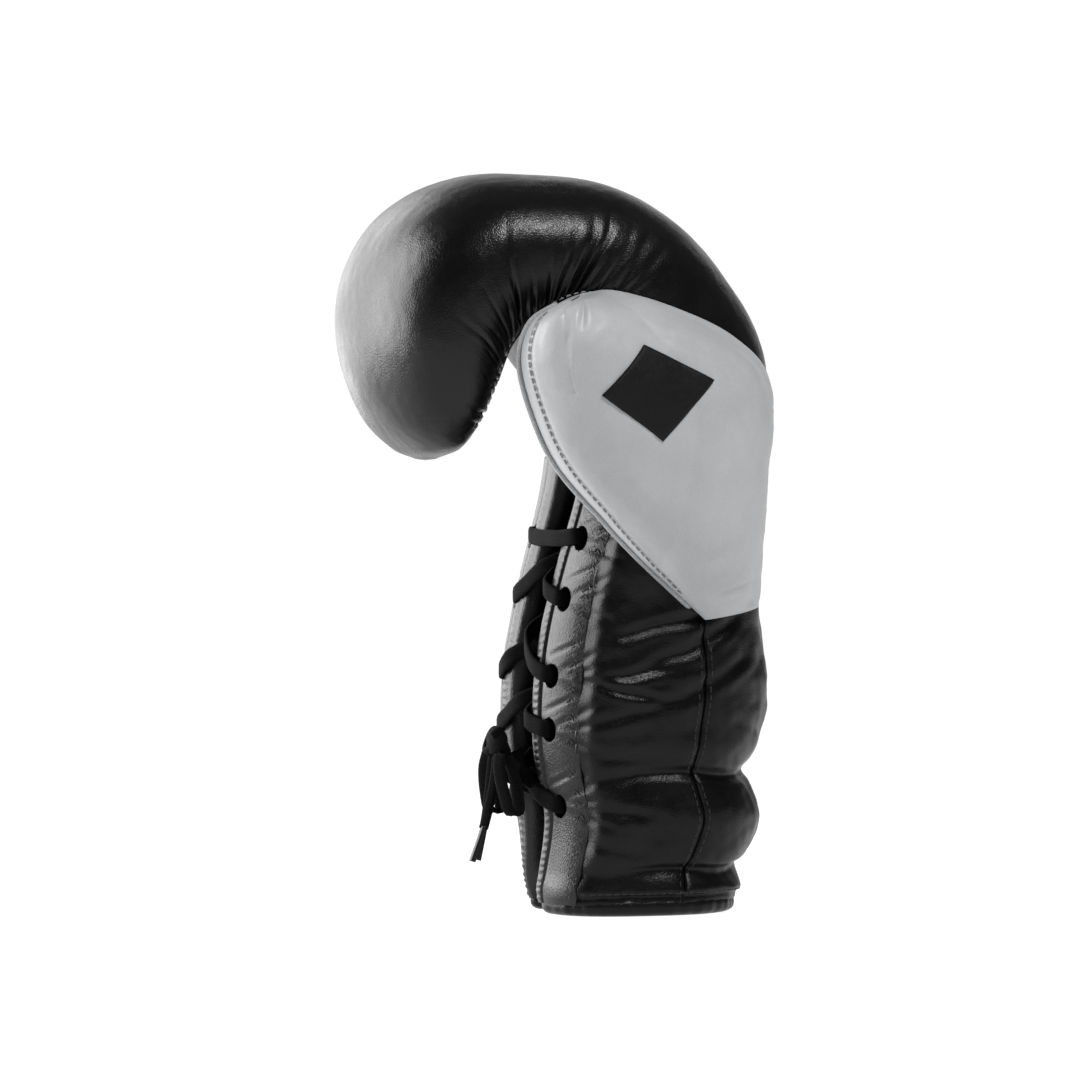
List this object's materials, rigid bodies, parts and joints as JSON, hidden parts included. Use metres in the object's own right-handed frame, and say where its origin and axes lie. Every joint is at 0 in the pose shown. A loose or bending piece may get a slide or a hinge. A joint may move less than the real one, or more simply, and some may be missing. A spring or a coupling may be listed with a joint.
{
  "type": "boxing glove",
  "caption": "Left-hand lace-up boxing glove with a padded cuff, a curved fist, an attached thumb and a laced palm-side opening.",
  "frame": {"origin": "on the surface that the cuff stands on, below the middle of the glove's bounding box", "axes": "+Z from the cuff to the knuckles, +X to the back of the hand, -X where the fist points, -Y the thumb side"},
  "size_m": [0.1936, 0.165, 0.33],
  "materials": {
    "black_leather": "semi-gloss, fine grain",
    "grey_leather": "satin, fine grain",
    "facing_leather": "satin, stitched",
    "foam": "dense closed-cell foam, matte",
    "soft_foam": "soft foam, matte",
    "lining": "woven, matte",
    "trim": "satin",
    "lace": "flat woven cord, matte",
    "lace_tip": "smooth film"
  },
  "bodies": {
    "glove": {"hem_roll_back": "black_leather", "hem_roll_thumb_side": "black_leather", "hem_roll_little_finger_side": "black_leather", "cuff_leather_back": "black_leather", "cuff_leather_thumb_flap": "black_leather", "cuff_leather_little_finger_flap": "black_leather", "facing_thumb_flap": "facing_leather", "facing_little_finger_flap": "facing_leather", "wrist_roll_lower": "foam", "wrist_roll_middle": "foam", "wrist_roll_upper": "foam", "wrist_pad_thumb_flap": "foam", "wrist_pad_little_finger_flap": "foam", "flap_pad_thumb_side": "soft_foam", "flap_pad_little_finger_side": "soft_foam", "cuff_lining": "lining", "hand_leather_back": "black_leather", "hand_leather_little_finger_side": "black_leather", "hand_leather_thumb_side": "black_leather", "palm_leather": "black_leather", "back_pad_outer": "foam", "back_pad_inner": "soft_foam", "side_pad_little_finger": "foam", "side_pad_thumb": "foam", "palm_heel_pad": "soft_foam", "palm_pad": "soft_foam", "grip_bar": "foam", "hand_lining": "lining", "gather_welt_thumb_side": "black_leather", "gather_welt_little_finger_side": "black_leather", "lace_threaded": "lace", "lace_knot": "lace", "lace_loop_thumb_side": "lace", "lace_loop_little_finger_side": "lace", "lace_tail_thumb_side": "lace", "lace_tip_thumb_side": "lace_tip", "lace_tail_little_finger_side": "lace", "lace_tip_little_finger_side": "lace_tip", "thumb_lock": "grey_leather"},
    "fist": {"fist_leather_outer": "black_leather", "finger_leather_inner": "black_leather", "knuckle_pad_outer": "foam", "knuckle_pad_middle": "soft_foam", "knuckle_pad_inner": "foam", "finger_pad_inner": "soft_foam", "finger_lining": "lining", "fingertip_pad": "foam", "fingertip_leather": "black_leather"},
    "thumb": {"thumb_leather_outer": "grey_leather", "thumb_leather_inner": "grey_leather", "thumb_pad_outer": "foam", "thumb_pad_inner": "soft_foam", "thumb_pad_palm_edge": "foam", "thumb_pad_back_edge": "foam", "thumb_piping": "trim", "thumb_badge": "trim"}
  },
  "joints": [
    {"name": "fist_curl", "type": "hinge", "parent": "glove", "child": "fist", "pos_m": [-0.02419, 0.01378, 0.257], "axis": [0, -1, 0], "range_deg": [-4, 8], "stiffness_Nm_per_rad": 4},
    {"name": "thumb_flex", "type": "hinge", "parent": "glove", "child": "thumb", "pos_m": [0.06481, -0.04022, 0.132], "axis": [1, 0, 0], "range_deg": [0, 6], "stiffness_Nm_per_rad": 3}
  ]
}
